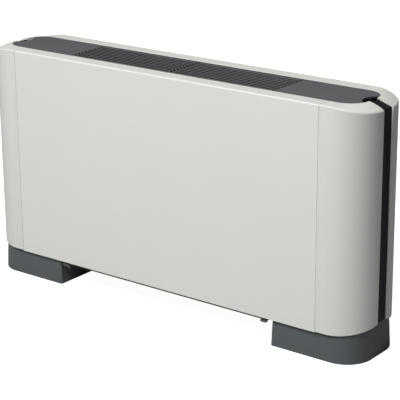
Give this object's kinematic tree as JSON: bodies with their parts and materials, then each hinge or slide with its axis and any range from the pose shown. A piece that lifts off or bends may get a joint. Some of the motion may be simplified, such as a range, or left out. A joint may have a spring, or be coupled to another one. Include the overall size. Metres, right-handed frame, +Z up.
{
  "type": "floor ceiling air conditioner",
  "caption": "Low floor-standing fan coil air conditioner with rounded ends, louvred top outlet, hinged end lids, twin fans, water coil and dark feet.",
  "frame": {"origin": "on the floor under the middle of the casing", "axes": "+X along the length to the viewer's right, -Y the front face, +Z up"},
  "size_m": [1.194, 0.226, 0.634],
  "materials": {
    "casing_paint": "satin powder coat",
    "casing_plastic": "fine satin grain",
    "dark_plastic": "fine matt grain",
    "slate_plastic": "fine matt grain",
    "strip_plastic": "smooth satin",
    "galvanised": "zinc coated sheet",
    "bright_steel": "zinc plated, smooth",
    "foam": "dull closed-cell foam",
    "fin_aluminium": "mill finish foil",
    "fan_aluminium": "pressed sheet",
    "copper": "drawn copper, slightly dull",
    "brass": "turned brass",
    "motor_paint": "dark enamel",
    "bearing_rubber": "matt",
    "filter_plastic": "matt",
    "filter_cloth": "woven net",
    "control_plastic": "matt",
    "knob_plastic": "satin gloss",
    "switch_plastic": "satin gloss",
    "box_plastic": "matt",
    "terminal_plastic": "matt"
  },
  "bodies": {
    "casing": {"front_panel": "casing_paint", "rear_rail": "casing_paint", "corner_shell_front_right": "casing_plastic", "corner_shell_rear_right": "casing_plastic", "corner_shell_front_left": "casing_plastic", "corner_shell_rear_left": "casing_plastic", "side_strip_right": "strip_plastic", "side_strip_left": "strip_plastic", "louvre_grille_right": "dark_plastic", "louvre_grille_left": "dark_plastic", "lid_hinge_pins": "bright_steel", "foot_cover_right": "slate_plastic", "foot_cover_left": "slate_plastic", "foot_bracket_right": "galvanised", "foot_bracket_left": "galvanised", "foot_screws": "bright_steel", "back_plate": "galvanised", "side_plate_right": "galvanised", "side_plate_left": "galvanised", "front_beam": "galvanised", "base_rail_front": "galvanised", "base_rail_rear": "galvanised", "panel_insulation": "foam", "fan_deck": "galvanised", "fan_scroll_right": "galvanised", "fan_scroll_left": "galvanised", "fan_motor": "motor_paint", "motor_cradle": "bright_steel", "shaft_bearing_right": "bearing_rubber", "shaft_bearing_left": "bearing_rubber", "coil_fins": "fin_aluminium", "coil_channels": "galvanised", "coil_end_right": "galvanised", "coil_end_left": "galvanised", "coil_bends": "copper", "coil_headers": "copper", "water_connections": "brass", "air_vent": "brass", "drain_pan": "galvanised", "connection_tray": "galvanised", "filter_runner_right": "galvanised", "filter_runner_left": "galvanised", "control_panel": "control_plastic", "terminal_box": "box_plastic", "terminal_cover": "box_plastic", "terminal_strip": "terminal_plastic", "cable_gland": "switch_plastic", "frame_rivets": "bright_steel", "rail_screws": "bright_steel"},
    "lid_left": {"lid_left": "dark_plastic"},
    "lid_right": {"lid_right": "dark_plastic"},
    "fan_rotor": {"fan_shaft": "bright_steel", "fan_wheel_left": "fan_aluminium", "fan_wheel_right": "fan_aluminium"},
    "filter": {"filter_frame": "filter_plastic", "filter_mesh": "filter_cloth"},
    "speed_knob_body": {"speed_knob": "knob_plastic"},
    "thermostat_knob_body": {"thermostat_knob": "knob_plastic"},
    "season_switch_body": {"season_switch": "switch_plastic"}
  },
  "joints": [
    {"name": "lid_right_hinge", "type": "hinge", "parent": "casing", "child": "lid_right", "pos_m": [0.323, 0, 0.631], "axis": [0, -1, 0], "range_deg": [0, 90]},
    {"name": "lid_left_hinge", "type": "hinge", "parent": "casing", "child": "lid_left", "pos_m": [-0.323, 0, 0.631], "axis": [0, 1, 0], "range_deg": [0, 90]},
    {"name": "fan_spin", "type": "hinge", "parent": "casing", "child": "fan_rotor", "pos_m": [0, -0.008, 0.178], "axis": [1, 0, 0], "continuous": true},
    {"name": "filter_slide", "type": "slide", "parent": "casing", "child": "filter", "axis": [0, -1, 0], "range_m": [0, 0.19]},
    {"name": "speed_knob_turn", "type": "hinge", "parent": "casing", "child": "speed_knob_body", "pos_m": [0.442, 0, 0.589], "axis": [0, 0, 1], "range_deg": [-120, 0]},
    {"name": "thermostat_knob_turn", "type": "hinge", "parent": "casing", "child": "thermostat_knob_body", "pos_m": [0.5, 0, 0.589], "axis": [0, 0, 1], "range_deg": [-270, 0]},
    {"name": "season_switch_slide", "type": "slide", "parent": "casing", "child": "season_switch_body", "axis": [0, 1, 0], "range_m": [0, 0.006]}
  ]
}
